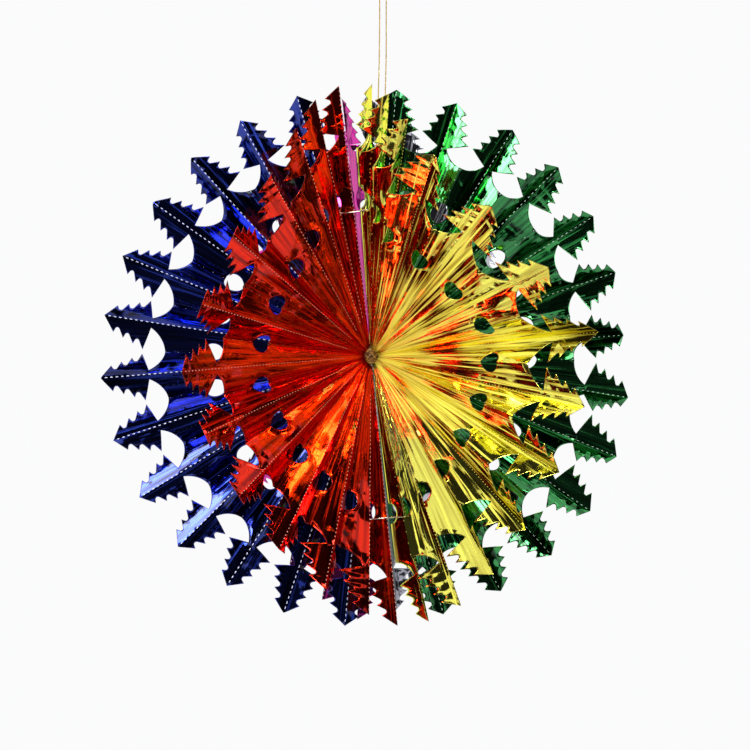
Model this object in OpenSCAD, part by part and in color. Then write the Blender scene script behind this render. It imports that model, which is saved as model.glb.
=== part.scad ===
// Hanging fan ball of metallised foil, with its centre at the origin and +Z up.
// Six pleated half discs, the leaves, stand round one upright axis. Every fold runs
// straight out of the centre, and the rim of each leaf is cut into a row of fir trees.

/* [Ball] */
// Distance from the centre to the tips of the trees
ball_radius = 150; // [120:1:200]
// Distance from the centre to the inner ends of the leaves
core_radius = 5.5; // [5:0.5:9]
// Radius that stays free along the leaves' axis for the hanging thread
axis_room = 1.8; // [1.6:0.1:3]
// Angle between the axis and the free edges of a leaf
edge_angle = 4; // [3:0.5:6]
// Lean of the leaves' axis from upright, to the left at the top
axis_lean = 5; // [3:0.5:6]

/* [Foil] */
// Thickness of the sheet
foil = 0.2; // [0.1:0.05:0.3]
// Trees along the rim of one leaf, each with a fold up its middle
trees = 13; // [11:1:15]
// Flat width of a panel over its width when pleated
fullness = 1.27; // [1.26:0.01:1.4]

/* [Trees] */
// Height of a tree from its lowest teeth to its tip
tree_height = 23; // [18:1:28]
// Rows of teeth on each side of a tree
tooth_rows = 4; // [3:1:5]
// Distance of the first row of teeth below the tip
first_tooth = 5.8; // [4:0.2:8]
// Half width of a tree at its first row of teeth
top_width = 9.4; // [7:0.2:11]
// Gap from the lowest teeth to the fold between two trees
tree_gap = 1.4; // [1:0.1:3]
// How far the bay under each tooth is cut in
bay_width = 3.3; // [2.5:0.1:4]
// How far the bay lies below its tooth
bay_drop = 2.2; // [1.8:0.1:2.8]
// Radius of the rounding in each bay
bay_radius = 1.2; // [0.8:0.1:1.3]
// Half width of the trunk
trunk_width = 3.4; // [2.5:0.1:5]
// Distance of the trunk's top below the lowest teeth
trunk_drop = 3.6; // [3:0.2:6]
// Depth of the rounded notch below the trunk's top
notch_depth = 8; // [5:0.2:12]

/* [Punched holes] */
// Radius of the hole on each fold between two trees
hole_radius = 5.8; // [4:0.2:8]
// Distance of the holes from the centre
hole_distance = 88; // [70:1:100]

/* [Tie and clips] */
// Thickness of the binding thread
binding = 1.1; // [0.8:0.1:1.5]
// Gap between the binding and the ends of the leaves
seat = 0.2; // [0.1:0.05:0.3]
// Radius of the wire that clips the front leaves together
clip_wire = 0.4; // [0.3:0.05:0.6]
// Length of a clip's bent ends
clip_hook = 4; // [3:0.5:6]
// Distance of the bent ends behind the foil
clip_reach = 2.2; // [1.8:0.1:4]

/* [Thread] */
// Radius of the hanging thread
thread_radius = 0.4; // [0.3:0.05:0.5]

/* [Hidden] */

// Headings in plan of each leaf's middle line at its crown, upper quarter, middle,
// lower quarter and foot, counted from +X. The front of the ball faces -Y.
red_line = [246, 248, 228, 240, 266];
gold_line = [284, 285, 319, 304, 296];
green_line = [4, 2, 12, -2, 0];
silver_line = [56, 52, 52, 66, 82];
magenta_line = [75, 112, 128, 128, 122];
blue_line = [174, 170, 180, 181, 182];

// Centre line of the hanging thread above its collar, up one strand and down the other
thread_strands = [
    [-0.8, -0.4, 10],
    [-0.5, -0.9, 16],
    [-0.2, -1.7, 26],
    [0.5, -3.3, 45],
    [1.4, -5.4, 70],
    [2.5, -7.9, 100],
    [3.6, -10.2, 130],
    [4.5, -12, 160],
    [4.8, -12.6, 185],
    [4.8, -12.8, 200],
    [4.9, -12.8, 204],
    [5.5, -12.8, 206],
    [6.6, -12.8, 206.8],
    [7.7, -12.8, 206],
    [8.3, -12.8, 204],
    [8.4, -12.8, 200],
    [8.4, -12.6, 185],
    [8.3, -12, 160],
    [7.3, -10.2, 130],
    [5.6, -7.9, 100],
    [3.8, -5.4, 70],
    [2.3, -3.3, 45],
    [1.2, -1.7, 26],
    [0.7, -0.9, 16],
    [0.3, -0.4, 10],
];
strand_gap = 1;
thread_sides = 8;
rings_per_span = 3;

panels = 2 * trees;
fold_step = (180 - 2 * edge_angle) / panels;
panel_angle = fullness * fold_step;
skirt_radius = ball_radius - tree_height;
skirt_width = skirt_radius * tan(panel_angle) - tree_gap;
trunk_radius = skirt_radius - trunk_drop;
// Corner under the lowest teeth, halfway down to the trunk
under_skirt = [skirt_radius - trunk_drop / 2, 0.62 * skirt_width];
notch_radius = trunk_radius - notch_depth;
tooth_step = (tree_height - first_tooth) / (tooth_rows - 1);
tie_radius = core_radius - seat;
collar_radius = axis_room - seat;
collar_rise = 0.3;
collar_top = core_radius + collar_rise;
// Neighbouring turns of the binding press into each other a little
turn_pitch = 0.92 * binding;
turns_end_angle = 80;
seam_fold = 2;
clip_bead = 1.3 * clip_wire;
// Plates start inside the ball that is cut out of the middle of each leaf
plate_start = core_radius / 2;
// Plates that meet at a fold run past it by a little, which leaves a scored crease
score = foil / 10;

// Unit vectors

function unit(v) = v / norm(v);

function toward(polar, heading) =
    [sin(polar) * cos(heading), sin(polar) * sin(heading), cos(polar)];

// A point of the leaning leaves, and the axis that they lean with
function leaned(v) = [
    v[0] * cos(axis_lean) - v[2] * sin(axis_lean),
    v[1],
    v[0] * sin(axis_lean) + v[2] * cos(axis_lean),
];

module lean() {
    rotate([0, -axis_lean, 0]) children();
}

// Folds of a leaf. The middle line runs from the crown to the foot on the sphere,
// and the folds lie in turn to either side of it.

function stations(line) = [for (i = [0:4]) [45 * i, line[i]]];

function middle(line, polar) = toward(polar, lookup(polar, stations(line)));

function across(line, polar) =
    unit(cross(middle(line, polar), middle(line, polar + 1) - middle(line, polar - 1)));

function angle_between(a, b) = 2 * asin(norm(unit(a) - unit(b)) / 2);

// Half height of a pleat, as an angle, that keeps the flat panel's own width
function pleat_angle(line, polar) =
    let (along = angle_between(
        middle(line, polar - fold_step / 2),
        middle(line, polar + fold_step / 2)
    ))
    acos(cos(panel_angle / 2) / cos(along / 2));

function fold_side(i) = i == 0 || i == panels ? 0 : i % 2 == 1 ? 1 : -1;

function fold(line, i) =
    let (
        polar = edge_angle + fold_step * i,
        rise = fold_side(i) * tan(pleat_angle(line, polar))
    )
    unit(middle(line, polar) + rise * across(line, polar));

// Outline of half a tree in the flat panel, with the tree's own fold along X

function tooth_width(row) =
    top_width + (skirt_width - top_width) * row / (tooth_rows - 1);

function tooth_radius(row) = ball_radius - first_tooth - tooth_step * row;

// Angle at a circle's centre of the point where a line from a point outside touches it
function touch_angle(centre, radius, point, side) =
    let (reach = point - centre)
    atan2(reach[1], reach[0]) + side * acos(radius / norm(reach));

// Rounded bay between the points of two neighbouring teeth
function bay(upper, lower, arc_steps = 3) =
    let (
        centre = upper - [bay_drop, bay_width - bay_radius],
        start = touch_angle(centre, bay_radius, upper, -1),
        end = touch_angle(centre, bay_radius, lower, 1) - 360
    )
    [
        for (k = [0:arc_steps])
            let (turn = start + (end - start) * k / arc_steps)
            centre + bay_radius * [cos(turn), sin(turn)],
    ];

function tooth(row) = [tooth_radius(row), tooth_width(row)];

function teeth() = [
    for (row = [0:tooth_rows - 1]) each concat(
        [tooth(row)],
        row < tooth_rows - 1 ? bay(tooth(row), tooth(row + 1)) : []
    ),
];

function on_fold(distance, angle, past) =
    distance * [cos(angle), sin(angle)] + past * [-sin(angle), cos(angle)];

// Rounded notch from the trunk to the fold between two trees
function notch(angle, arc_steps = 3) =
    let (
        corner = [trunk_radius, trunk_width],
        bottom = on_fold(notch_radius, angle, 0),
        rise = (corner - bottom) * [cos(angle), sin(angle)],
        run = norm(corner - bottom - rise * [cos(angle), sin(angle)]),
        radius = (rise * rise + run * run) / (2 * rise),
        centre = on_fold(notch_radius + radius, angle, 0),
        sweep = asin(run / radius)
    )
    [
        for (k = [0:arc_steps])
            let (turn = angle + 180 + sweep * (1 - k / arc_steps))
            centre + radius * [cos(turn), sin(turn)],
    ];

module panel_outline(angle, punched) {
    difference() {
        polygon(concat(
            [[plate_start, -score], [ball_radius, -score]],
            teeth(),
            [under_skirt],
            notch(angle),
            [
                on_fold(notch_radius, angle, score),
                on_fold(plate_start, angle, score),
            ]
        ));
        if (punched)
            translate(on_fold(hole_distance, angle, 0))
                circle(r = hole_radius, $fn = 32);
    }
}

// Placing

module in_frame(origin, x, y, z) {
    multmatrix([
        [x[0], y[0], z[0], origin[0]],
        [x[1], y[1], z[1], origin[1]],
        [x[2], y[2], z[2], origin[2]],
        [0, 0, 0, 1],
    ])
        children();
}

module rod(from, to, radius) {
    z = unit(to - from);
    x = unit(cross(z, abs(z[2]) < 0.9 ? [0, 0, 1] : [1, 0, 0]));
    in_frame(from, x, cross(z, x), z)
        cylinder(h = norm(to - from), r = radius, $fn = 32);
}

// Leaves

module panel(line, i) {
    ridge = fold(line, i % 2 == 0 ? i + 1 : i);
    valley = fold(line, i % 2 == 0 ? i : i + 1);
    z = unit(cross(ridge, valley));
    in_frame([0, 0, 0], ridge, cross(z, ridge), z)
        translate([0, 0, -foil / 2])
            linear_extrude(foil)
                panel_outline(
                    angle_between(ridge, valley),
                    i > 0 && i < panels - 1
                );
}

module leaf(line) {
    lean()
        difference() {
            union() {
                for (i = [0:panels - 1]) panel(line, i);
            }
            cylinder(h = 2 * ball_radius, r = axis_room, center = true, $fn = 48);
            sphere(r = core_radius, $fn = 64);
        }
}

module leaf_red() {
    color([0.78, 0.05, 0.04]) leaf(red_line);
}

module leaf_gold() {
    color([0.95, 0.78, 0.12]) leaf(gold_line);
}

module leaf_green() {
    color([0.05, 0.42, 0.18]) leaf(green_line);
}

module leaf_silver() {
    color([0.78, 0.79, 0.81]) leaf(silver_line);
}

module leaf_magenta() {
    color([0.82, 0.12, 0.6]) leaf(magenta_line);
}

module leaf_blue() {
    color([0.06, 0.09, 0.5]) leaf(blue_line);
}

// Binding in the middle: thread wound into a round knot, with a flat collar above it
// that the hanging thread comes out of

module centre_tie() {
    wound = tie_radius - binding / 2;
    turn_step = 2 * asin(turn_pitch / 2 / wound);
    last_turn = floor(turns_end_angle / turn_step);
    color([0.55, 0.36, 0.12])
        lean() union() {
            rotate_extrude($fn = 48)
                intersection() {
                    union() {
                        circle(r = wound, $fn = 64);
                        for (k = [-last_turn:last_turn])
                            translate(wound * [cos(k * turn_step), sin(k * turn_step)])
                                circle(d = binding, $fn = 24);
                    }
                    translate([0, -core_radius])
                        square([core_radius, 2 * core_radius]);
                }
            cylinder(h = collar_top, r = collar_radius, $fn = 32);
        }
}

// Wire clips through the first and last punched holes of the two front leaves. Each is
// a bowed bar in front of the foil, with an end bent over behind each leaf.

module clip(a, b, distance, hook) {
    half = distance * norm(b - a) / 2;
    side = unit(b - a);
    middle_way = unit(a + b);
    front = cross(side, middle_way) * (middle_way[2] > 0 ? 1 : -1);
    bar_radius = half / sin(angle_between([a[0], a[1], 0], [b[0], b[1], 0]) / 2);
    half_turn = asin(half / bar_radius);
    end_turn = half_turn + clip_reach / bar_radius * 180 / PI;
    centre = distance * (a + b) / 2 - front * bar_radius * cos(half_turn);
    in_frame(centre, front, side, cross(front, side))
        rotate([0, 0, -end_turn])
            rotate_extrude(angle = 2 * end_turn, $fn = 96)
                translate([bar_radius, 0])
                    circle(r = clip_wire, $fn = 24);
    for (end = [[a, -1], [b, 1]]) {
        tip = centre
            + bar_radius * (cos(end_turn) * front + end[1] * sin(end_turn) * side);
        translate(tip) sphere(r = clip_bead, $fn = 32);
        rod(tip, tip + hook * end[0], clip_wire);
    }
}

module seam_clips() {
    lean = hole_radius - clip_wire - seat;
    color([0.86, 0.8, 0.66])
        lean() union() {
            clip(
                fold(red_line, seam_fold),
                fold(gold_line, seam_fold),
                hole_distance - lean,
                -clip_hook
            );
            clip(
                fold(red_line, panels - seam_fold),
                fold(gold_line, panels - seam_fold),
                hole_distance + lean,
                clip_hook
            );
        }
}

// Hanging thread: one round thread swept along its route

function spline(a, b, c, d, t) =
    0.5 * (2 * b + (c - a) * t + (2 * a - 5 * b + 4 * c - d) * t * t
        + (3 * b - a - 3 * c + d) * t * t * t);

function thread_route() = concat(
    [leaned([-strand_gap / 2, 0, collar_top])],
    thread_strands,
    [leaned([strand_gap / 2, 0, collar_top])]
);

function thread_line(route) = [
    for (i = [0:len(route) - 2], k = [0:rings_per_span - 1])
        spline(
            route[max(i - 1, 0)],
            route[i],
            route[i + 1],
            route[min(i + 2, len(route) - 1)],
            k / rings_per_span
        ),
    route[len(route) - 1],
];

// The thread's two ends lie flat on the collar
function ring(line, i, last) =
    let (
        axis = leaned([0, 0, 1]),
        along = i == 0 ? axis : i == last ? -axis : unit(line[i + 1] - line[i - 1]),
        y = unit(cross([0, 1, 0], along)),
        x = cross(y, along)
    )
    [
        for (k = [0:thread_sides - 1])
            let (turn = 360 * k / thread_sides)
            line[i] + thread_radius * (cos(turn) * x + sin(turn) * y),
    ];

module hanging_thread() {
    line = thread_line(thread_route());
    last = len(line) - 1;
    n = thread_sides;
    color([0.85, 0.68, 0.3])
        polyhedron(
            points = [for (i = [0:last]) each ring(line, i, last)],
            faces = concat(
                [[for (k = [0:n - 1]) k]],
                [
                    for (i = [0:last - 1], k = [0:n - 1])
                        let (next = (k + 1) % n)
                        each [
                            [i * n + k, i * n + n + k, i * n + next],
                            [i * n + next, i * n + n + k, i * n + n + next],
                        ],
                ],
                [[for (k = [n - 1:-1:0]) last * n + k]]
            )
        );
}

leaf_red();
leaf_gold();
leaf_green();
leaf_silver();
leaf_magenta();
leaf_blue();
centre_tie();
seam_clips();
hanging_thread();
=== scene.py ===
"""Hanging fan ball of pleated mirror foil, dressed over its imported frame.

Lengths are metres and angles degrees. The ball's centre is the origin, +Z is up and the
front of the ball, with its closed seam, faces -Y.
"""

import logging
import math
from dataclasses import dataclass, field
from enum import Enum
from functools import partial

import bpy
from mathutils import Matrix, Vector


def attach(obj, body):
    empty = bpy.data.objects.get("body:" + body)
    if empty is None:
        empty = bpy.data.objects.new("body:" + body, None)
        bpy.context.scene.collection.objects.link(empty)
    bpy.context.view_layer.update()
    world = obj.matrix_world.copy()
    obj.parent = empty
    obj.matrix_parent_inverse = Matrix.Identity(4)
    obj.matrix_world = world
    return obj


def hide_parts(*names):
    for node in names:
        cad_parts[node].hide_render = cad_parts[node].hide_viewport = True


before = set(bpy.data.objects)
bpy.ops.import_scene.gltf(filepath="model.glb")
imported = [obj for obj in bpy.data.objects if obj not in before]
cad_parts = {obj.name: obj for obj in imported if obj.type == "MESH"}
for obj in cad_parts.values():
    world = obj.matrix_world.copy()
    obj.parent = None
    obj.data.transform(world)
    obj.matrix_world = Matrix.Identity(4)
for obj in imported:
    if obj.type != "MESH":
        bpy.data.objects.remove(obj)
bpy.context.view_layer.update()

MM = 0.001
BODY = "root"
# the ball hangs with its axis 5 degrees to the left at the top
LEAN = Matrix.Rotation(math.radians(-5.0), 3, "Y")
log = logging.getLogger("foil_ball")

Point = tuple[float, float]
Socket = bpy.types.NodeSocket
Tree = bpy.types.NodeTree


def linear(hex_colour: str) -> tuple[float, float, float, float]:
    """Turn an sRGB hex colour into linear light.

    Args:
        hex_colour: Six hex digits, such as "F5D51E".

    Returns:
        Linear red, green and blue, with alpha 1.
    """
    parts = [int(hex_colour[i:i + 2], 16) / 255 for i in (0, 2, 4)]
    red, green, blue = (
        c / 12.92 if c <= 0.04045 else ((c + 0.055) / 1.055) ** 2.4 for c in parts
    )
    return red, green, blue, 1.0


def feed(tree: Tree, node: bpy.types.Node, inputs: dict) -> None:
    """Set or link inputs of a node.

    Args:
        tree: Tree that holds the node.
        node: The node.
        inputs: Socket name or number to a value, to the socket that feeds it or to a
            node, whose first output feeds it.
    """
    for name, value in inputs.items():
        if isinstance(value, bpy.types.Node):
            value = value.outputs[0]
        if isinstance(value, Socket):
            tree.links.new(value, node.inputs[name])
        else:
            node.inputs[name].default_value = value


def add_node(tree: Tree, kind: str, inputs: dict | None = None, **settings) -> bpy.types.Node:
    """Add a node with its settings and links.

    Args:
        tree: Shader or geometry tree that takes the node.
        kind: Blender's name of the node's type.
        inputs: What feeds the node, if anything does.
        settings: The node's own properties.

    Returns:
        The new node.
    """
    node = tree.nodes.new(kind)
    for name, value in settings.items():
        setattr(node, name, value)
    feed(tree, node, inputs or {})
    return node


def new_material(name: str) -> tuple[bpy.types.Material, Tree, bpy.types.Node]:
    """Start a material: the material, its tree and its Principled BSDF node."""
    made = bpy.data.materials.new(name)
    made.use_nodes = True
    return made, made.node_tree, made.node_tree.nodes["Principled BSDF"]


def matte(name: str, colour: tuple, roughness: float) -> bpy.types.Material:
    """Make a plain material of one linear colour."""
    made, tree, shader = new_material(name)
    feed(tree, shader, {"Base Color": colour, "Roughness": roughness})
    return made


def set_ramp(node: bpy.types.Node, stops: list[tuple[float, tuple]]) -> None:
    """Give a Color Ramp node its stops.

    Args:
        node: The Color Ramp node.
        stops: Place along the ramp and linear colour of each stop.
    """
    elements = node.color_ramp.elements
    while len(elements) < len(stops):
        elements.new(1.0)
    for element, (place, colour) in zip(elements, stops):
        element.position = place
        element.color = colour


def mesh_object(name: str, points: list, edges: list, faces: list) -> bpy.types.Object:
    """Make a mesh object at the origin from its points, edges and faces."""
    mesh = bpy.data.meshes.new(name)
    mesh.from_pydata(points, edges, faces)
    mesh.update()
    made = bpy.data.objects.new(name, mesh)
    bpy.context.scene.collection.objects.link(made)
    return made


def rectangle(name: str, width: float, height: float, z: float = 0.0) -> bpy.types.Object:
    """Make a level rectangle about the Z axis."""
    w, h = width / 2, height / 2
    corners = [(-w, -h, z), (w, -h, z), (w, h, z), (-w, h, z)]
    return mesh_object(name, corners, [], [(0, 1, 2, 3)])


def route_object(name: str, line: list[Vector]) -> bpy.types.Object:
    """Make an object of edges along a line of points."""
    return mesh_object(name, line, [(k, k + 1) for k in range(len(line) - 1)], [])


def grown(seed: bpy.types.Object, tree: Tree, values: dict, name: str) -> bpy.types.Object:
    """Run a geometry tree on a seed object and keep the result as a plain mesh.

    Args:
        seed: Object that carries the points or edges the tree starts from.
        tree: Geometry tree with named inputs.
        values: Input name to value.
        name: Name of the finished piece.

    Returns:
        A new object at the origin that holds the plain mesh.
    """
    modifier = seed.modifiers.new(tree.name, "NODES")
    modifier.node_group = tree
    for item in tree.interface.items_tree:
        if item.item_type == "SOCKET" and item.in_out == "INPUT" and item.name in values:
            modifier[item.identifier] = values[item.name]
    seed.update_tag()
    graph = bpy.context.evaluated_depsgraph_get()
    mesh = bpy.data.meshes.new_from_object(seed.evaluated_get(graph))
    seed.modifiers.remove(modifier)
    mesh.name = name
    made = bpy.data.objects.new(name, mesh)
    bpy.context.scene.collection.objects.link(made)
    bpy.data.objects.remove(seed)
    return made


def new_geometry_tree(name: str, *sizes: str) -> tuple[Tree, bpy.types.Node]:
    """Start a geometry tree with a Geometry input and output and named inputs.

    Args:
        name: Name of the tree.
        sizes: Names of its number inputs, beside an input for the Material.

    Returns:
        The tree and its Group Input node.
    """
    tree = bpy.data.node_groups.new(name, "GeometryNodeTree")
    tree.interface.new_socket("Geometry", in_out="INPUT", socket_type="NodeSocketGeometry")
    tree.interface.new_socket("Geometry", in_out="OUTPUT", socket_type="NodeSocketGeometry")
    for label in sizes:
        tree.interface.new_socket(label, in_out="INPUT", socket_type="NodeSocketFloat")
    tree.interface.new_socket("Material", in_out="INPUT", socket_type="NodeSocketMaterial")
    return tree, add_node(tree, "NodeGroupInput")


def close_geometry_tree(tree: Tree, shape: bpy.types.Node, group: bpy.types.Node) -> None:
    """End a geometry tree with a plain mesh of the shape in the input's material."""
    real = add_node(tree, "GeometryNodeRealizeInstances", {"Geometry": shape})
    dressed = add_node(tree, "GeometryNodeSetMaterial", {
        "Geometry": real, "Material": group.outputs["Material"]})
    add_node(tree, "NodeGroupOutput", {"Geometry": dressed})


def polar_point(polar: float, heading: float) -> Vector:
    """Unit vector at an angle from +Z and a heading from +X."""
    p, h = math.radians(polar), math.radians(heading)
    return Vector((math.sin(p) * math.cos(h), math.sin(p) * math.sin(h), math.cos(p)))


# Finishes


@dataclass(frozen=True)
class Relief:
    """Unevenness pressed into the film, as noise on the leaf's map.

    The map runs 150 mm for each unit of u and one panel for each unit of v. The height is
    the noise's whole range, of which the film shows about a quarter.
    """

    spread: tuple[float, float, float]
    height_mm: float
    detail: float
    roughness: float = 0.5
    distortion: float = 0.0

    def noise(self, tree: Tree, leaf_map: Socket) -> bpy.types.Node:
        """Add the relief's noise to a shader tree."""
        place = add_node(tree, "ShaderNodeMapping", {"Vector": leaf_map, "Scale": self.spread})
        return add_node(tree, "ShaderNodeTexNoise", {
            "Vector": place, "Scale": 1.0, "Detail": self.detail,
            "Roughness": self.roughness, "Distortion": self.distortion})


@dataclass(frozen=True)
class MirrorFoil:
    """Vacuum-metallised plastic film: aluminium under a clear coloured lacquer.

    The metal gives hard mirror images in the lacquer's colour and the lacquer's own face
    a weak white one. Pleating leaves fine creases that run out from the centre, and along
    them the film is crushed to a soft sheen over a share of its face, where the lacquer's
    body shows as well.
    """

    name: str
    colour: str
    # the second colour is painted shade, which the base colour takes along some creases
    crease_shade: str
    crushed: float = 0.15
    crushed_span: tuple[float, float] = (0.0, 1.0)
    rim_crush: float = 0.4
    rim_work: float = 0.8
    body: float = 0.2
    smooth: float = 0.05
    sheen: float = 0.6
    lacquer: float = 0.5
    lacquer_roughness: float = 0.04
    # about 2.5 mm apart across the pleats and 60 mm long
    creases: Relief = Relief((2.6, 5.0, 1.0), 0.16, 1.0, 0.45, 0.35)
    # shallow, about 6 mm across, from handling
    dents: Relief = Relief((22.0, 1.9, 1.0), 0.2, 0.5, distortion=0.8)
    # 1 mm apart, pressed in most near the middle where the folds crowd
    lines: Relief = Relief((2.0, 7.0, 1.0), 0.096, 3.0, 0.6)
    # patches about 40 mm long and two panels wide
    patches: Relief = Relief((4.0, 0.5, 1.0), 0.0, 1.0)

    def material(self) -> bpy.types.Material:
        """Build the film's shader on the leaf's own map: u out from the centre, v across."""
        made, tree, shader = new_material(self.name)
        leaf_map = add_node(tree, "ShaderNodeUVMap", uv_map="fold_map").outputs["UV"]
        place = add_node(tree, "ShaderNodeSeparateXYZ", {"Vector": leaf_map})
        # the pleating works the film less towards the rim, where it stays flatter
        worked = add_node(tree, "ShaderNodeMapRange", {
            "Value": place.outputs["X"], "From Min": 0.25, "From Max": 0.55,
            "To Min": 1.0, "To Max": self.rim_work})
        crowded = add_node(tree, "ShaderNodeMapRange", {
            "Value": place.outputs["X"], "From Min": 0.15, "From Max": 0.6,
            "To Min": 1.0, "To Max": 0.0})
        noises, normal = [], None
        for relief, strength in (
            (self.creases, worked), (self.dents, worked), (self.lines, crowded)
        ):
            noises.append(relief.noise(tree, leaf_map))
            bump = add_node(tree, "ShaderNodeBump", {
                "Height": noises[-1], "Strength": strength,
                "Distance": relief.height_mm * MM})
            if normal:
                feed(tree, bump, {"Normal": normal})
            normal = bump
        crease, _, line = noises
        crush = self.crushed_streaks(tree, leaf_map, place, line)
        for name, near, far in (("Roughness", self.smooth, self.sheen),
                                ("Metallic", 1.0, 1 - self.body)):
            feed(tree, shader, {name: add_node(tree, "ShaderNodeMapRange", {
                "Value": crush, "To Min": near, "To Max": far})})
        # the lacquer lies a little thicker along some creases
        # painted shade: along some creases the base colour darkens to the crease shade colour,
        # standing in for the dark surroundings that the film mirrors there
        crease_shading = add_node(tree, "ShaderNodeValToRGB", {"Fac": crease})
        set_ramp(crease_shading, [(0.3, linear(self.crease_shade)), (0.55, linear(self.colour))])
        # under the lacquer the metal keeps its colour at a low angle too
        feed(tree, shader, {
            "Base Color": crease_shading, "Normal": normal, "Specular Tint": linear(self.colour),
            "Coat Weight": self.lacquer, "Coat Roughness": self.lacquer_roughness})
        return made

    def crushed_streaks(self, tree: Tree, leaf_map: Socket, place: bpy.types.Node,
                        lines: bpy.types.Node) -> bpy.types.Node:
        """Where the film is crushed: streaks along the pressed lines, denser in patches.

        Args:
            tree: The film's shader tree.
            leaf_map: The leaf's map.
            place: Node that splits the map.
            lines: Noise of the pressed lines.

        Returns:
            Node that gives 0 on mirror-smooth film and 1 on crushed film.
        """
        add = partial(add_node, tree)
        # from 0 at the crown's edge to 1 at the foot's
        way = add("ShaderNodeMath", {
            0: place.outputs["Y"], 1: 2.0 * LeafCut.trees}, operation="DIVIDE")
        start, end = self.crushed_span
        span = add("ShaderNodeValToRGB", {"Fac": way})
        none, full = (0.0, 0.0, 0.0, 1.0), (1.0, 1.0, 1.0, 1.0)
        set_ramp(span, [(start - 0.05, none), (start + 0.03, full),
                        (end - 0.03, full), (end + 0.05, none)])
        share = add("ShaderNodeMapRange", {
            "Value": self.patches.noise(tree, leaf_map), "From Min": 0.35,
            "From Max": 0.65, "To Min": 0.1 * self.crushed, "To Max": 1.7 * self.crushed})
        near = add("ShaderNodeMapRange", {
            "Value": place.outputs["X"], "From Min": 0.3, "From Max": 0.75,
            "To Min": 1.15, "To Max": self.rim_crush})
        inner = add("ShaderNodeMath", {0: share, 1: near}, operation="MULTIPLY")
        amount = add("ShaderNodeMath", {0: inner, 1: span}, operation="MULTIPLY")
        # the larger the share, the lower the lines that count as crushed
        raised = add("ShaderNodeMath", {0: amount, 1: 0.24, 2: lines}, operation="MULTIPLY_ADD")
        streak = add("ShaderNodeMapRange", {
            "Value": raised, "From Min": 0.57, "From Max": 0.67})
        return streak


@dataclass(frozen=True)
class ScoredDash:
    """Pressed and torn film along a perforated fold, duller than the foil. Its pale colour is
    painted light: the white backdrop seen through the slits and glints at their edges.
    """

    name: str
    colour: str
    roughness: float = 0.32
    pitch_mm: float = 3.0
    length_mm: float = 1.9
    width_mm: float = 0.62

    def material(self) -> bpy.types.Material:
        """Build the dash's shader, with a little unevenness from the tearing."""
        made, tree, shader = new_material(self.name)
        place = add_node(tree, "ShaderNodeTexCoord")
        # grain of 1 mm, so that neighbouring dashes differ
        grain = add_node(tree, "ShaderNodeTexNoise", {
            "Vector": place.outputs["Object"], "Scale": 1000.0, "Detail": 1.0})
        tone = add_node(tree, "ShaderNodeValToRGB", {"Fac": grain})
        # painted light: the pale colour; the grain dulls part of each dash at random
        pale = linear(self.colour)
        dull = tuple(0.6 * c for c in pale[:3]) + (1.0,)
        set_ramp(tone, [(0.3, dull), (0.5, pale)])
        feed(tree, shader, {"Base Color": tone, "Metallic": 0.1, "Roughness": self.roughness})
        return made


@dataclass(frozen=True)
class YarnFinish:
    """Flat metallised strip spun round a core. Along the twist the base colour runs between
    dark and bright in short patches: partly the yarn's own uneven tone, partly painted glints.
    """

    name: str
    bright: str
    dark: str
    metallic: float = 0.85
    roughness: float = 0.28
    glint_mm: float = 0.6

    def material(self) -> bpy.types.Material:
        """Build the yarn's shader, on Object coordinates."""
        made, tree, shader = new_material(self.name)
        place = add_node(tree, "ShaderNodeTexCoord")
        strip = add_node(tree, "ShaderNodeTexNoise", {
            "Vector": place.outputs["Object"], "Scale": 1 / (self.glint_mm * MM),
            "Detail": 1.5})
        # partly painted glints: the noise moves the base colour from the dark to the bright
        # colour
        tone = add_node(tree, "ShaderNodeValToRGB", {"Fac": strip})
        set_ramp(tone, [(0.35, linear(self.dark)), (0.62, linear(self.bright))])
        bump = add_node(tree, "ShaderNodeBump", {
            "Height": strip, "Strength": 0.6, "Distance": 0.15 * MM})
        feed(tree, shader, {
            "Base Color": tone, "Normal": bump, "Metallic": self.metallic,
            "Roughness": self.roughness})
        return made


@dataclass(frozen=True)
class DrawnWire:
    """Thin drawn wire, tinned: pale, with drawing marks along it."""

    name: str = "tinned_wire"
    colour: str = "E9E0CC"
    roughness: float = 0.22

    def material(self) -> bpy.types.Material:
        """Build the wire's shader, on Object coordinates."""
        made, tree, shader = new_material(self.name)
        place = add_node(tree, "ShaderNodeTexCoord")
        marks = add_node(tree, "ShaderNodeTexNoise", {
            "Vector": place.outputs["Object"], "Scale": 1400.0, "Detail": 1.0})
        bump = add_node(tree, "ShaderNodeBump", {
            "Height": marks, "Strength": 0.3, "Distance": 0.05 * MM})
        feed(tree, shader, {
            "Base Color": linear(self.colour), "Normal": bump, "Metallic": 1.0,
            "Roughness": self.roughness})
        return made


# The leaves


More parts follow.
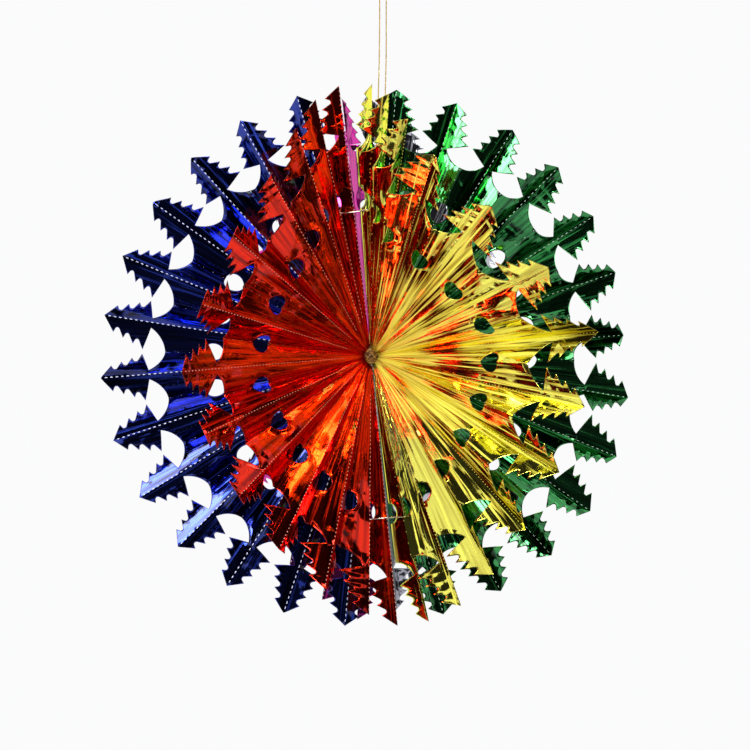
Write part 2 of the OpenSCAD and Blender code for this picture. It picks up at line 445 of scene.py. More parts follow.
@dataclass(frozen=True)
class LeafCut:
    """Sizes of a leaf's flat cut, with each panel's ridge fold along X."""

    ball_radius: float = 150 * MM
    core_radius: float = 5.5 * MM
    axis_room: float = 1.8 * MM
    edge_angle: float = 4.0
    foil: float = 0.2 * MM
    trees: int = 13
    fullness: float = 1.27
    tree_height: float = 23 * MM
    tooth_rows: int = 4
    first_tooth: float = 5.8 * MM
    top_width: float = 9.4 * MM
    tree_gap: float = 1.4 * MM
    bay_width: float = 3.3 * MM
    bay_drop: float = 2.2 * MM
    bay_radius: float = 1.2 * MM
    trunk_width: float = 3.4 * MM
    trunk_drop: float = 3.6 * MM
    under_skirt_share: float = 0.62
    notch_depth: float = 8 * MM
    hole_radius: float = 5.8 * MM
    hole_distance: float = 88 * MM
    dash_start: float = 24 * MM
    rim_step: float = 1.5 * MM
    fold_step_length: float = 4 * MM
    columns: int = 8

    @property
    def panels(self) -> int:
        """Two panels to a tree."""
        return 2 * self.trees

    @property
    def fold_step(self) -> float:
        """Angle between neighbouring folds of the pleated leaf, in degrees."""
        return (180 - 2 * self.edge_angle) / self.panels

    @property
    def panel_angle(self) -> float:
        """Angle of one flat panel, in degrees."""
        return self.fullness * self.fold_step

    @property
    def notch_radius(self) -> float:
        """Distance from the centre to the bottom of a notch between two trees."""
        return self.ball_radius - self.tree_height - self.trunk_drop - self.notch_depth

    def on_valley(self, distance: float) -> Point:
        """Point of the valley fold at a distance from the centre."""
        a = math.radians(self.panel_angle)
        return distance * math.cos(a), distance * math.sin(a)

    def bay(self, upper: Point, lower: Point, steps: int = 6) -> list[Point]:
        """Rounded bay between the points of two neighbouring teeth.

        Args:
            upper: Point of the tooth nearer to the tree's tip.
            lower: Point of the next tooth.
            steps: Parts of the bay's arc.

        Returns:
            Points of the arc, which the straight sides of both teeth touch.
        """
        centre = Vector(upper) - Vector((self.bay_drop, self.bay_width - self.bay_radius))
        turns = []
        for tooth, side in ((upper, -1), (lower, 1)):
            reach = Vector(tooth) - centre
            turns.append(math.atan2(reach.y, reach.x)
                         + side * math.acos(self.bay_radius / reach.length))
        start, end = turns[0], turns[1] - 2 * math.pi
        arc = [start + (end - start) * k / steps for k in range(steps + 1)]
        return [
            tuple(centre + self.bay_radius * Vector((math.cos(a), math.sin(a)))) for a in arc]

    def tree_corners(self) -> list[Point]:
        """Corners of half a tree, from its tip down its teeth to the trunk."""
        skirt = self.ball_radius - self.tree_height
        skirt_width = skirt * math.tan(math.radians(self.panel_angle)) - self.tree_gap
        step = (self.tree_height - self.first_tooth) / (self.tooth_rows - 1)
        widen = (skirt_width - self.top_width) / (self.tooth_rows - 1)
        teeth = [
            (self.ball_radius - self.first_tooth - step * row, self.top_width + widen * row)
            for row in range(self.tooth_rows)
        ]
        corners = [(self.ball_radius, 0.0), teeth[0]]
        for upper, lower in zip(teeth, teeth[1:]):
            corners += [*self.bay(upper, lower), lower]
        under = (skirt - self.trunk_drop / 2, self.under_skirt_share * skirt_width)
        return corners + [under, (skirt - self.trunk_drop, self.trunk_width)]

    def notch_curve(self, steps: int = 8) -> list[Point]:
        """Rounded notch from the trunk to the valley fold."""
        a = math.radians(self.panel_angle)
        along = Vector((math.cos(a), math.sin(a)))
        corner = Vector((
            self.ball_radius - self.tree_height - self.trunk_drop, self.trunk_width))
        bottom = along * self.notch_radius
        rise = (corner - bottom).dot(along)
        run = (corner - bottom - along * rise).length
        radius = (rise * rise + run * run) / (2 * rise)
        centre = along * (self.notch_radius + radius)
        sweep = math.asin(run / radius)
        curve = []
        for k in range(1, steps + 1):
            turn = a + math.pi + sweep * (1 - k / steps)
            curve.append(tuple(centre + radius * Vector((math.cos(turn), math.sin(turn)))))
        return curve

    def outline(self) -> list[Point]:
        """Free edge and valley fold of a panel, from the tree's tip to the core."""
        corners = self.tree_corners()
        line = [corners[0]]
        for a, b in zip(corners, corners[1:]):
            count = max(1, round(math.dist(a, b) / self.rim_step))
            line += [
                (a[0] + (b[0] - a[0]) * k / count, a[1] + (b[1] - a[1]) * k / count)
                for k in range(1, count + 1)
            ]
        line += self.notch_curve()
        upper = self.hole_distance + self.hole_radius
        lower = self.hole_distance - self.hole_radius
        line += self.valley_run(self.notch_radius, upper)
        centre = Vector(self.on_valley(self.hole_distance))
        start = math.radians(self.panel_angle)
        for k in range(1, 13):
            turn = start - math.pi * k / 12
            line.append(tuple(
                centre + self.hole_radius * Vector((math.cos(turn), math.sin(turn)))))
        return line + self.valley_run(lower, self.core_radius)

    def valley_run(self, start: float, end: float) -> list[Point]:
        """Points of the valley fold from one distance to a nearer one."""
        count = max(2, round((start - end) / self.fold_step_length))
        return [
            self.on_valley(start + (end - start) * k / count)
            for k in range(1, count + 1)
        ]

    def give(self, distance: float, share: float) -> float:
        """How freely the film bows at a place: not at a fold, and most at a free edge.

        Args:
            distance: Distance from the centre.
            share: 0 at the ridge fold and 1 at the outline.

        Returns:
            A share from 0 to 1.
        """
        free = (distance - self.notch_radius) / (self.tree_height / 2)
        free = min(1.0, max(0.0, free))
        held = math.sin(math.pi * share)
        loose = math.sin(math.pi * share / 2) * 0.8
        return held * (1 - free) + loose * free

    def panel_mesh(self) -> bpy.types.Object:
        """Flat half panel as a grid of rows out from the ridge to each outline point."""
        rim = self.outline()
        points, gives, shares, faces = [], [], [], []
        for x, y in rim:
            distance, angle = math.hypot(x, y), math.atan2(y, x)
            for j in range(self.columns + 1):
                share = j / self.columns
                points.append((
                    distance * math.cos(angle * share),
                    distance * math.sin(angle * share), 0.0))
                gives.append(self.give(distance, share))
                shares.append(angle * share / math.radians(self.panel_angle))
        width = self.columns + 1
        for i in range(len(rim) - 1):
            for j in range(self.columns):
                a = i * width + j
                faces.append((a, a + width, a + width + 1, a + 1))
        panel = mesh_object("flat_panel", points, [], faces)
        for name, values in (("give", gives), ("share", shares)):
            layer = panel.data.attributes.new(name, "FLOAT", "POINT")
            layer.data.foreach_set("value", values)
        return panel


@dataclass(frozen=True)
class MiddleLine:
    """Line from crown to foot on the sphere that a leaf's folds lie to either side of.

    The five headings are those of the crown, upper quarter, middle, lower quarter and
    foot, in degrees from +X.
    """

    headings: tuple[float, float, float, float, float]
    cut: LeafCut

    def at(self, polar: float) -> Vector:
        """Unit vector of the line at an angle from the crown."""
        place = min(max(polar / 45, 0.0), 4.0)
        i = min(int(place), 3)
        a, b = self.headings[i], self.headings[i + 1]
        return polar_point(polar, a + (b - a) * (place - i))

    def across(self, polar: float) -> Vector:
        """Unit vector square to the line, on the sphere."""
        return self.at(polar).cross(self.at(polar + 1) - self.at(polar - 1)).normalized()

    def pleat_angle(self, polar: float) -> float:
        """Half height of a pleat that keeps the flat panel's own angle, in radians."""
        half = self.cut.fold_step / 2
        along = self.at(polar - half).angle(self.at(polar + half))
        flat = math.radians(self.cut.panel_angle)
        return math.acos(math.cos(flat / 2) / math.cos(along / 2))

    def fold(self, i: int) -> Vector:
        """Unit vector of a fold: the first and last on the line, the others beside it."""
        polar = self.cut.edge_angle + self.cut.fold_step * i
        side = 0 if i in (0, self.cut.panels) else 1 if i % 2 else -1
        rise = side * math.tan(self.pleat_angle(polar))
        return (self.at(polar) + rise * self.across(polar)).normalized()

    def leaned_folds(self) -> list[Vector]:
        """Every fold, leaned with the leaves' axis."""
        return [LEAN @ self.fold(i) for i in range(self.cut.panels + 1)]


class Leaf:
    """One pleated half disc with its perforated folds."""

    def __init__(self, node: str, slot: str, headings: tuple, foil: MirrorFoil,
                 dash: ScoredDash, cut: LeafCut, seed: int) -> None:
        """Keep what the leaf is made from.

        Args:
            node: Name of the frame's node that the leaf stands for.
            slot: The record's material slot; not used.
            headings: Headings of the leaf's middle line.
            foil: Finish of the film.
            dash: Finish of the perforations.
            cut: Sizes of the flat cut.
            seed: Sets how this leaf's film bows.
        """
        self.node, self.slot, self.seed = node, slot, seed
        self.foil, self.dash, self.cut = foil, dash, cut
        self.folds = MiddleLine(headings, cut).leaned_folds()

    def panel_seeds(self) -> bpy.types.Object:
        """One point for each panel, which carries the directions of its two folds."""
        ridges, acrosses, angles, turned = [], [], [], []
        for i in range(self.cut.panels):
            ridge, valley = self.folds[i + 1], self.folds[i]
            if i % 2:
                ridge, valley = valley, ridge
            across = (valley - ridge * ridge.dot(valley)).normalized()
            ridges += list(ridge)
            acrosses += list(across)
            angles.append(ridge.angle(valley))
            turned.append(i % 2 == 1)
        seeds = mesh_object(f"{self.node}_seeds", [(0, 0, 0)] * self.cut.panels, [], [])
        data = seeds.data.attributes
        data.new("ridge", "FLOAT_VECTOR", "POINT").data.foreach_set("vector", ridges)
        data.new("across", "FLOAT_VECTOR", "POINT").data.foreach_set("vector", acrosses)
        data.new("angle", "FLOAT", "POINT").data.foreach_set("value", angles)
        data.new("turned", "BOOLEAN", "POINT").data.foreach_set("value", turned)
        return seeds

    def clear_axis(self, mesh: bpy.types.Mesh) -> None:
        """Keep the film out of the round space along the axis."""
        axis = LEAN @ Vector((0, 0, 1))
        for vertex in mesh.vertices:
            foot = axis * vertex.co.dot(axis)
            off = vertex.co - foot
            if off.length < self.cut.axis_room:
                vertex.co = foot + off.normalized() * self.cut.axis_room

    def cut_edge(self) -> bpy.types.Material:
        """Edge of the film in painted shade: 0.35 of the crease shade colour, so that the cut
        edges show no bright rim.
        """
        # painted shade: the edge is darkened so that it catches no light
        dark = tuple(0.35 * c for c in linear(self.foil.crease_shade)[:3]) + (1.0,)
        return matte(f"{self.node}_cut_film_edge", dark, 0.5)

    def build_sheet(self, panel: bpy.types.Object, tree: Tree) -> bpy.types.Object:
        """Fold the flat panels into the leaf and give the film its thickness.

        Args:
            panel: The flat half panel.
            tree: Geometry tree that sets the panels along the folds.

        Returns:
            The leaf's sheet.
        """
        sheet = grown(self.panel_seeds(), tree, {
            "Panel": panel,
            "Bow": 1.4 * MM,
            "Crumple": 0.35 * MM,
            "Seed": self.seed * 7.3,
            "Material": self.foil.material(),
        }, f"{self.node}_sheet")
        self.clear_axis(sheet.data)
        sheet.data.shade_smooth()
        sheet.data.set_sharp_from_angle(angle=math.radians(32))
        wall = sheet.modifiers.new("film", "SOLIDIFY")
        wall.thickness = self.cut.foil
        wall.offset = 0.0
        sheet.data.materials.append(self.cut_edge())
        wall.material_offset_rim = 1
        return sheet

    def build_dashes(self, tree: Tree) -> list[bpy.types.Object]:
        """Set torn dashes along the ridges and small dots along the valleys.

        Args:
            tree: Geometry tree that sets dashes along fold lines.

        Returns:
            The dashes and the dots.
        """
        start = self.cut.dash_start
        hole = self.cut.hole_radius + 1.5 * MM
        ridge_runs = [(start, self.cut.ball_radius - 3 * MM)]
        valley_runs = [
            (start, self.cut.hole_distance - hole),
            (self.cut.hole_distance + hole, self.cut.notch_radius - 1 * MM),
        ]
        finish = self.dash.material()
        pieces = []
        torn = self.dash
        for name, first, runs, pitch, length, width in (
            ("ridge_dashes", 1, ridge_runs, torn.pitch_mm, torn.length_mm, torn.width_mm),
            ("valley_dots", 2, valley_runs, 5.0, 0.8, 0.4),
        ):
            points, edges = [], []
            for fold in self.folds[first:self.cut.panels:2]:
                for near, far in runs:
                    edges.append((len(points), len(points) + 1))
                    points += [fold * near, fold * far]
            seeds = mesh_object(f"{self.node}_fold_lines", points, edges, [])
            pieces.append(grown(seeds, tree, {
                "Pitch": pitch * MM,
                "Length": length * MM,
                "Width": width * MM,
                "Material": finish,
            }, f"{self.node}_{name}"))
        return pieces

    def build(self, panel: bpy.types.Object, fold_tree: Tree, dash_tree: Tree) -> None:
        sheet = self.build_sheet(panel, fold_tree)
        for piece in (sheet, *self.build_dashes(dash_tree)):
            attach(piece, BODY)
            log.info("%s: %d faces", piece.name, len(piece.data.polygons))
        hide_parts(self.node)


def panel_folding_tree(ball_radius: float) -> Tree:
    """Geometry tree that sets a flat panel along each pair of folds and bows the film.

    Args:
        ball_radius: Distance from the centre that is 1 on the leaf's map.

    Returns:
        The tree, with inputs Panel, Bow, Crumple, Seed and Material.
    """
    tree, group = new_geometry_tree("fold_panels", "Bow", "Crumple", "Seed")
    add = partial(add_node, tree)
    tree.interface.new_socket("Panel", in_out="INPUT", socket_type="NodeSocketObject")
    ridge, across, turned, angle, share, give, number = (
        add("GeometryNodeInputNamedAttribute", {"Name": name}, data_type=kind)
        .outputs["Attribute"]
        for name, kind in (
            ("ridge", "FLOAT_VECTOR"), ("across", "FLOAT_VECTOR"), ("turned", "BOOLEAN"),
            ("angle", "FLOAT"), ("share", "FLOAT"), ("give", "FLOAT"), ("order", "FLOAT"))
    )
    panel = add("GeometryNodeObjectInfo", {"Object": group.outputs["Panel"]})
    other = add("GeometryNodeFlipFaces", {"Mesh": panel.outputs["Geometry"]})
    straight = add("FunctionNodeBooleanMath", {0: turned}, operation="NOT")
    order = add("GeometryNodeInputIndex")
    numbered = add("GeometryNodeStoreNamedAttribute", {
        "Geometry": group.outputs["Geometry"], "Name": "order", "Value": order},
        data_type="FLOAT", domain="POINT")
    sets = [
        add("GeometryNodeInstanceOnPoints", {
            "Points": numbered, "Selection": chosen, "Instance": shape})
        for shape, chosen in ((panel.outputs["Geometry"], straight), (other, turned))
    ]
    both = add("GeometryNodeJoinGeometry")
    for one in sets:
        feed(tree, both, {"Geometry": one})
    real = add("GeometryNodeRealizeInstances", {"Geometry": both})

    # each point swings from the ridge towards the valley by its share of their angle
    place = add("GeometryNodeInputPosition")
    reach = add("ShaderNodeVectorMath", {0: place}, operation="LENGTH")
    swing = add("ShaderNodeMath", {0: angle, 1: share}, operation="MULTIPLY")
    parts = []
    for way, part in ((ridge, "COSINE"), (across, "SINE")):
        weight = add("ShaderNodeMath", {0: swing}, operation=part)
        parts.append(add("ShaderNodeVectorMath", {0: way, "Scale": weight}, operation="SCALE"))
    way_out = add("ShaderNodeVectorMath", {0: parts[0], 1: parts[1]}, operation="ADD")
    spot = add("ShaderNodeVectorMath", {
        0: way_out, "Scale": reach.outputs["Value"]}, operation="SCALE")
    folded = add("GeometryNodeSetPosition", {"Geometry": real, "Position": spot})

    # the leaf's map: u is the distance over the ball's radius, v counts panels
    out = add("ShaderNodeMath", {0: reach.outputs["Value"], 1: ball_radius}, operation="DIVIDE")
    parity = add("ShaderNodeMath", {0: number, 1: 2.0}, operation="MODULO")
    from_ridge = add("ShaderNodeMath", {0: 1.0, 1: share}, operation="SUBTRACT")
    within = add("ShaderNodeMix", {"Factor": parity, "A": from_ridge, "B": share})
    count = add("ShaderNodeMath", {0: number, 1: within}, operation="ADD")
    leaf_map = add("ShaderNodeCombineXYZ", {"X": out, "Y": count})
    mapped = add("GeometryNodeStoreNamedAttribute", {
        "Geometry": folded, "Name": "fold_map", "Value": leaf_map},
        data_type="FLOAT2", domain="CORNER")
    whole = add("GeometryNodeMergeByDistance", {"Geometry": mapped, "Distance": 0.02 * MM})

    # long soft bows and sharper crumples, both along the normal and none at a fold
    seeded = add("ShaderNodeCombineXYZ", {"Z": group.outputs["Seed"]})
    shifted = add("ShaderNodeVectorMath", {0: place, 1: seeded}, operation="ADD")
    waves = []
    for size, scale in (("Bow", 22.0), ("Crumple", 85.0)):
        wave = add("ShaderNodeTexNoise", {"Vector": shifted, "Scale": scale, "Detail": 1.0})
        centred = add("ShaderNodeMath", {0: wave, 1: 0.5}, operation="SUBTRACT")
        waves.append(add("ShaderNodeMath", {
            0: centred, 1: group.outputs[size]}, operation="MULTIPLY"))
    height = add("ShaderNodeMath", {0: waves[0], 1: waves[1]}, operation="ADD")
    doubled = add("ShaderNodeMath", {0: height, 1: 2.0}, operation="MULTIPLY")
    held = add("ShaderNodeMath", {0: doubled, 1: give}, operation="MULTIPLY")
    normal = add("GeometryNodeInputNormal")
    shift = add("ShaderNodeVectorMath", {0: normal, "Scale": held}, operation="SCALE")
    bowed = add("GeometryNodeSetPosition", {"Geometry": whole, "Offset": shift})
    close_geometry_tree(tree, bowed, group)
    return tree


def perforation_tree() -> Tree:
    """Geometry tree that sets a pressed dash at even steps along fold lines.

    Returns:
        The tree, with inputs Pitch, Length, Width and Material.
    """
    tree, group = new_geometry_tree("perforations", "Pitch", "Length", "Width")
    add = partial(add_node, tree)
    lines = add("GeometryNodeMeshToCurve", {"Mesh": group.outputs["Geometry"]})
    even = add("GeometryNodeResampleCurve", {
        "Curve": lines, "Length": group.outputs["Pitch"]}, mode="LENGTH")
    bead = add("GeometryNodeMeshIcoSphere", {"Radius": 0.5, "Subdivisions": 1})
    size = add("ShaderNodeCombineXYZ", {
        "X": group.outputs["Width"], "Y": group.outputs["Width"],
        "Z": group.outputs["Length"]})
    way = add("GeometryNodeInputTangent")
    turn = add("FunctionNodeAlignRotationToVector", {"Vector": way}, axis="Z")
    dashes = add("GeometryNodeInstanceOnPoints", {
        "Points": even, "Instance": bead, "Rotation": turn, "Scale": size})
    close_geometry_tree(tree, dashes, group)
    return tree


# Tie, clips and hanging thread


@dataclass
class HangingThread:
    """Two metallic strips twisted together, up one strand and down the other."""

    diameter: float = 0.8 * MM
    lay_length: float = 2.6 * MM
    ring_step: float = 0.3 * MM
    collar_top: float = 5.8 * MM
    strand_gap: float = 1 * MM
    # centre line above the collar, the same points as the solid thread's
    strands_mm: tuple = (
        (-0.8, -0.4, 10), (-0.5, -0.9, 16), (-0.2, -1.7, 26), (0.5, -3.3, 45),
        (1.4, -5.4, 70), (2.5, -7.9, 100), (3.6, -10.2, 130), (4.5, -12, 160),
        (4.8, -12.6, 185), (4.8, -12.8, 200), (4.9, -12.8, 204), (5.5, -12.8, 206),
        (6.6, -12.8, 206.8), (7.7, -12.8, 206), (8.3, -12.8, 204), (8.4, -12.8, 200),
        (8.4, -12.6, 185), (8.3, -12, 160), (7.3, -10.2, 130), (5.6, -7.9, 100),
        (3.8, -5.4, 70), (2.3, -3.3, 45), (1.2, -1.7, 26), (0.7, -0.9, 16),
        (0.3, -0.4, 10),
    )
    finish: YarnFinish = field(default_factory=lambda: YarnFinish(
        "metallic_gold_yarn", bright="F4DC86", dark="B98A2E"))

    def route(self, steps: int = 12) -> list[Vector]:
        """Points of a smooth curve through the listed ones."""
        ends = [LEAN @ Vector((s * self.strand_gap / 2, 0, self.collar_top)) for s in (-1, 1)]
        marks = [ends[0], *(Vector(p) * MM for p in self.strands_mm), ends[1]]
        line = []
        for i in range(len(marks) - 1):
            a, b = marks[max(i - 1, 0)], marks[i]
            c, d = marks[i + 1], marks[min(i + 2, len(marks) - 1)]
            for k in range(steps):
                t = k / steps
                line.append(0.5 * (2 * b + (c - a) * t + (2 * a - 5 * b + 4 * c - d) * t * t
                                   + (3 * b - a - 3 * c + d) * t * t * t))
        return [*line, marks[-1]]

    def twist_tree(self) -> Tree:
        """Geometry tree that sweeps two round strips along the route as they twist.

        Returns:
            The tree, with inputs Strip radius, Ring step, Turn and Material.
        """
        tree, group = new_geometry_tree("twisted_yarn", "Strip radius", "Ring step", "Turn")
        add = partial(add_node, tree)
        line = add("GeometryNodeMeshToCurve", {"Mesh": group.outputs["Geometry"]})
        even = add("GeometryNodeResampleCurve", {
            "Curve": line, "Length": group.outputs["Ring step"]}, mode="LENGTH")
        along = add("GeometryNodeSplineParameter")
        tilt = add("ShaderNodeMath", {
            0: along.outputs["Length"], 1: group.outputs["Turn"]}, operation="MULTIPLY")
        turned = add("GeometryNodeSetCurveTilt", {"Curve": even, "Tilt": tilt})
        strip = add("GeometryNodeCurvePrimitiveCircle", {
            "Resolution": 7, "Radius": group.outputs["Strip radius"]})
        pair = add("GeometryNodeJoinGeometry")
        for side in (-0.9, 0.9):
            off = add("ShaderNodeMath", {
                0: group.outputs["Strip radius"], 1: side}, operation="MULTIPLY")
            place = add("ShaderNodeCombineXYZ", {"X": off})
            moved = add("GeometryNodeTransform", {"Geometry": strip, "Translation": place})
            feed(tree, pair, {"Geometry": moved})
        swept = add("GeometryNodeCurveToMesh", {
            "Curve": turned, "Profile Curve": pair, "Fill Caps": True})
        close_geometry_tree(tree, swept, group)
        return tree

    def build(self, sweep: Tree) -> None:
        """Args:
            sweep: Geometry tree of the twisted yarn.
        """
        line = self.route()
        seed = route_object("thread_route", line)
        thread = grown(seed, sweep, {
            "Strip radius": self.diameter / 2 / 1.9,
            "Ring step": self.ring_step,
            "Turn": 2 * math.pi / self.lay_length,
            "Material": self.finish.material(),
        }, "twisted_thread")
        thread.data.shade_smooth()
        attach(thread, BODY)
        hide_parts("hanging_thread")


@dataclass
class Fastenings:
    """The wound tie in the middle and the two wire clips, which keep their solids.

    A finer gold strand crosses the tie's level turns on the slant.
    """

    wound_radius: float = 5.15 * MM
    strand: float = 0.5 * MM
    lay_length: float = 1.8 * MM
    turns: int = 9
    slope: float = 58.0
    advance: float = 43.0
    tie_finish: YarnFinish = field(default_factory=lambda: YarnFinish(
        "wound_brown_yarn", bright="7A5224", dark="34200E", metallic=0.3,
        roughness=0.42, glint_mm=2.0))
    strand_finish: YarnFinish = field(default_factory=lambda: YarnFinish(
        "crossing_gold_yarn", bright="F6D064", dark="A87420", metallic=0.4,
        roughness=0.35, glint_mm=1.2))
    clip_finish: DrawnWire = field(default_factory=DrawnWire)

    def crossing_strand(self, sweep: Tree) -> None:
        """Wind the gold strand over the tie, each turn a little further round.

        Args:
            sweep: Geometry tree of the twisted yarn.
        """
        line = []
        for k in range(self.turns * 48 + 1):
            turn = 2 * math.pi * k / 48
            tilt = math.radians(self.slope) * (0.82 + 0.18 * math.cos(turn / 2.7))
            around = Matrix.Rotation(math.radians(self.advance) * k / 48, 3, "Z")
            way = Vector((math.cos(turn), math.sin(turn) * math.cos(tilt),
                          math.sin(turn) * math.sin(tilt)))
            line.append(LEAN @ around @ way * self.wound_radius)
        seed = route_object("strand_route", line)
        strand = grown(seed, sweep, {
            "Strip radius": self.strand / 2 / 1.9,
            "Ring step": 0.5 * MM,
            "Turn": 2 * math.pi / self.lay_length,
            "Material": self.strand_finish.material(),
        }, "tie_crossing_strand")
        strand.data.shade_smooth()
        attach(strand, BODY)
        log.info("tie_crossing_strand: %d turns", self.turns)

    def dress(self) -> None:
        """Give each solid its finish."""
        for node, finish in (("centre_tie", self.tie_finish),
                             ("seam_clips", self.clip_finish)):
            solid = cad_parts[node]
            solid.data.materials.clear()
            solid.data.materials.append(finish.material())
            log.info("%s: dressed", node)


# Studio


class Rays(Enum):
    """Kinds of ray that see the white background as it is."""

    CAMERA = "Is Camera Ray"
    GLOSSY = "Is Glossy Ray"
    TRANSMISSION = "Is Transmission Ray"


@dataclass(frozen=True)
class Softbox:
    """Rectangular studio lamp that faces the ball's centre."""

    name: str
    place: tuple[float, float, float]
    width: float
    height: float
    watts: float

    def build(self) -> None:
        """Make the lamp."""
        lamp = bpy.data.lights.new(self.name, "AREA")
        lamp.shape = "RECTANGLE"
        lamp.size, lamp.size_y = self.width, self.height
        lamp.energy = self.watts
        made = bpy.data.objects.new(self.name, lamp)
        made.location = self.place
        made.rotation_euler = (-Vector(self.place)).to_track_quat("-Z", "Y").to_euler()
        bpy.context.scene.collection.objects.link(made)


@dataclass(frozen=True)
class Flag:
    """Black cloth on a frame: it darkens what the foil mirrors and nothing else."""

    name: str
    place: tuple[float, float, float]
    width: float
    height: float
    colour: str = "1C1C20"

    def build(self) -> None:
        """Make the flag, turned to the ball's centre and out of the camera's sight."""
        flag = rectangle(self.name, self.width, self.height)
        turn = (-Vector(self.place)).to_track_quat("Z", "Y").to_matrix().to_4x4()
        flag.data.transform(Matrix.Translation(self.place) @ turn)
        flag.data.materials.append(matte(f"{self.name}_cloth", linear(self.colour), 0.9))
        flag.visible_camera = False
        flag.visible_diffuse = False
        flag.visible_shadow = False


@dataclass
class Studio:
    """White background, pale floor, softboxes, flags and the camera."""

    backdrop: str = "FBFBFC"
    ambient: str = "B8B8BC"
    floor_drop: float = 0.62
    camera_distance: float = 1.2
    pixels_per_mm: float = 1.8
    image_pixels: int = 750
    ball_pixel: tuple[float, float] = (371.0, 356.0)
    lamps: tuple[Softbox, ...] = (
        Softbox("front_softbox", (-0.35, -1.35, 0.45), 0.5, 0.5, 15.0),
        Softbox("left_strip", (-1.05, -0.35, 1.0), 0.25, 0.7, 6.0),
        Softbox("right_strip", (1.05, -0.4, 1.0), 0.25, 0.7, 6.0),
        Softbox("top_softbox", (0.0, 0.45, 1.3), 1.0, 0.3, 4.0),
    )
    flags: tuple[Flag, ...] = (
        Flag("ceiling_flag", (0.0, -0.55, 1.45), 3.0, 1.3),
        Flag("floor_flag", (0.0, -0.2, -0.6), 2.4, 1.3),
        Flag("front_flag", (0.0, -1.7, 0.1), 3.0, 2.4),
        Flag("left_flag", (-1.7, -0.8, 0.0), 1.4, 2.4),
        Flag("right_flag", (1.7, -0.8, 0.0), 1.4, 2.4),
        Flag("back_flag", (0.0, 1.7, 0.1), 2.2, 2.2),
        Flag("upper_left_card", (-0.85, -0.85, 0.92), 0.9, 0.7, "F0F0F2"),
    )

    def build_world(self) -> None:
        """White where the background is looked at or mirrored, and a plain level of light."""
        world = bpy.data.worlds.new("white_studio")
        bpy.context.scene.world = world
        world.use_nodes = True
        tree = world.node_tree
        tree.nodes.clear()
        rays = add_node(tree, "ShaderNodeLightPath")
        seen = rays.outputs[Rays.CAMERA.value]
        for kind in (Rays.GLOSSY, Rays.TRANSMISSION):
            seen = add_node(tree, "ShaderNodeMath", {
                0: seen, 1: rays.outputs[kind.value]}, operation="MAXIMUM")
        lights = [
            add_node(tree, "ShaderNodeBackground", {"Color": colour, "Strength": 1.0})
            for colour in (linear(self.ambient), linear(self.backdrop))
        ]
        sky = add_node(tree, "ShaderNodeMixShader", {"Fac": seen, 1: lights[0], 2: lights[1]})
        add_node(tree, "ShaderNodeOutputWorld", {"Surface": sky})

    def build_floor(self) -> None:
        """Pale floor well below the ball, where it keeps the shadow."""
        floor = rectangle("studio_floor", 3.2, 3.2, -self.floor_drop)
        floor.data.materials.append(matte("white_floor_paint", linear("F4F4F5"), 0.7))

    def build_camera(self) -> None:
        """Level camera in front of the ball, framed as the photograph is."""
        per_metre = self.pixels_per_mm / MM
        middle = self.image_pixels / 2
        side = (middle - self.ball_pixel[0]) / per_metre
        up = (self.ball_pixel[1] - middle) / per_metre
        data = bpy.data.cameras.new("photo_camera")
        data.sensor_width = 36.0
        data.lens = 36.0 * self.camera_distance / (self.image_pixels / per_metre)
        camera = bpy.data.objects.new("photo_camera", data)
        camera.location = (side, -self.camera_distance, up)
        camera.rotation_euler = (math.radians(90), 0, 0)
        bpy.context.scene.collection.objects.link(camera)
        bpy.context.scene.camera = camera

    def build(self) -> None:
        """Make the whole studio."""
        bpy.context.scene.view_settings.view_transform = "Standard"
        self.build_camera()
        self.build_world()
        self.build_floor()
        for stand in (*self.lamps, *self.flags):
            stand.build()


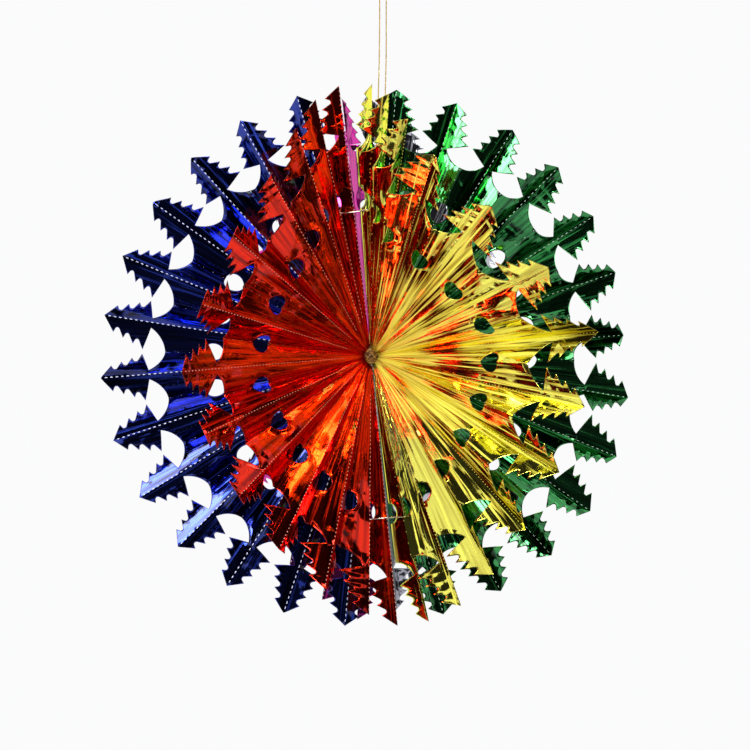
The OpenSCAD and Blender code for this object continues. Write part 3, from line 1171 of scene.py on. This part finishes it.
def foil_leaves(cut: LeafCut) -> list[Leaf]:
    """The six leaves, with the headings of their middle lines from crown to foot."""
    # each film's second colour is the painted shade along its creases
    return [
        Leaf("leaf_red", "red_foil", (246, 248, 228, 240, 266),
             MirrorFoil("red_mirror_film", "F02A0A", "8A0C06", crushed=0.35,
                        rim_work=0.3, body=0.1, sheen=0.42, lacquer=0.3),
             # painted light: the pale dash colours stand for light through the slits and glints
             # at their edges
             ScoredDash("red_scored_dashes", "FFA08C", pitch_mm=2.4,
                        length_mm=1.1, width_mm=0.52), cut, 1),
        Leaf("leaf_gold", "gold_foil", (284, 285, 319, 304, 296),
             MirrorFoil("gold_mirror_film", "FFFA66", "BCA830", crushed=0.62,
                        crushed_span=(0.3, 0.8), rim_crush=0.25, rim_work=0.2,
                        body=0.82),
             ScoredDash("gold_scored_dashes", "F8EA6E", pitch_mm=2.0,
                        length_mm=1.0, width_mm=0.55), cut, 2),
        Leaf("leaf_green", "green_foil", (4, 2, 12, -2, 0),
             MirrorFoil("green_mirror_film", "388F4C", "124826"),
             ScoredDash("green_scored_dashes", "D5F5E2"), cut, 3),
        Leaf("leaf_silver", "silver_foil", (56, 52, 52, 66, 82),
             MirrorFoil("silver_mirror_film", "BEBEC8", "9494A0"),
             ScoredDash("silver_scored_dashes", "FFFFFF"), cut, 4),
        Leaf("leaf_magenta", "magenta_foil", (75, 112, 128, 128, 122),
             MirrorFoil("magenta_mirror_film", "E23CB2", "A01E86"),
             ScoredDash("magenta_scored_dashes", "FFC6EE"), cut, 5),
        Leaf("leaf_blue", "blue_foil", (174, 170, 180, 181, 182),
             MirrorFoil("blue_mirror_film", "283A98", "10133C"),
             ScoredDash("blue_scored_dashes", "D6DEFF"), cut, 6),
    ]


def main() -> None:
    """Build the studio, the thread, the leaves and the fastenings in order."""
    logging.basicConfig(level=logging.INFO, format="%(name)s: %(message)s")
    Studio().build()
    thread = HangingThread()
    sweep = thread.twist_tree()
    thread.build(sweep)
    cut = LeafCut()
    panel = cut.panel_mesh()
    fold_tree, dash_tree = panel_folding_tree(cut.ball_radius), perforation_tree()
    for leaf in foil_leaves(cut):
        leaf.build(panel, fold_tree, dash_tree)
    bpy.data.objects.remove(panel)
    fastenings = Fastenings()
    fastenings.crossing_strand(sweep)
    fastenings.dress()


if __name__ == "__main__":
    main()
